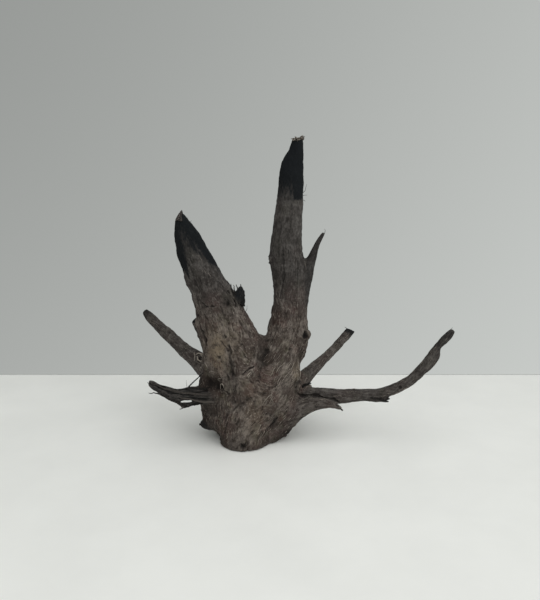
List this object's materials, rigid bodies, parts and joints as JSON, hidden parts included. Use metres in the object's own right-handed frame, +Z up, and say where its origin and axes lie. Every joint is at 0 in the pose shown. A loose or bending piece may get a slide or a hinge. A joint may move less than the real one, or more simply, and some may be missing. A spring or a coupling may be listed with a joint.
{
  "type": "dry root",
  "caption": "Dry sawn root of weathered dark wood with charred tips: a stump on a flat sawn butt, two upright prongs and several bare branches",
  "frame": {"origin": "On the sawn butt the root stands on, near the middle of that flat face", "axes": "+Z points up through the root, -Y is the face that shows the fork between the two prongs, +X is the side of the long curved branch"},
  "size_m": [0.4367, 0.1903, 0.4027],
  "materials": {
    "weathered_root_wood": "dry, matt, grey-brown weathered wood with fibrous grain and remains of bark, charred black at the upper tips"
  },
  "bodies": {
    "root": {"dry_root": "weathered_root_wood"}
  },
  "joints": []
}
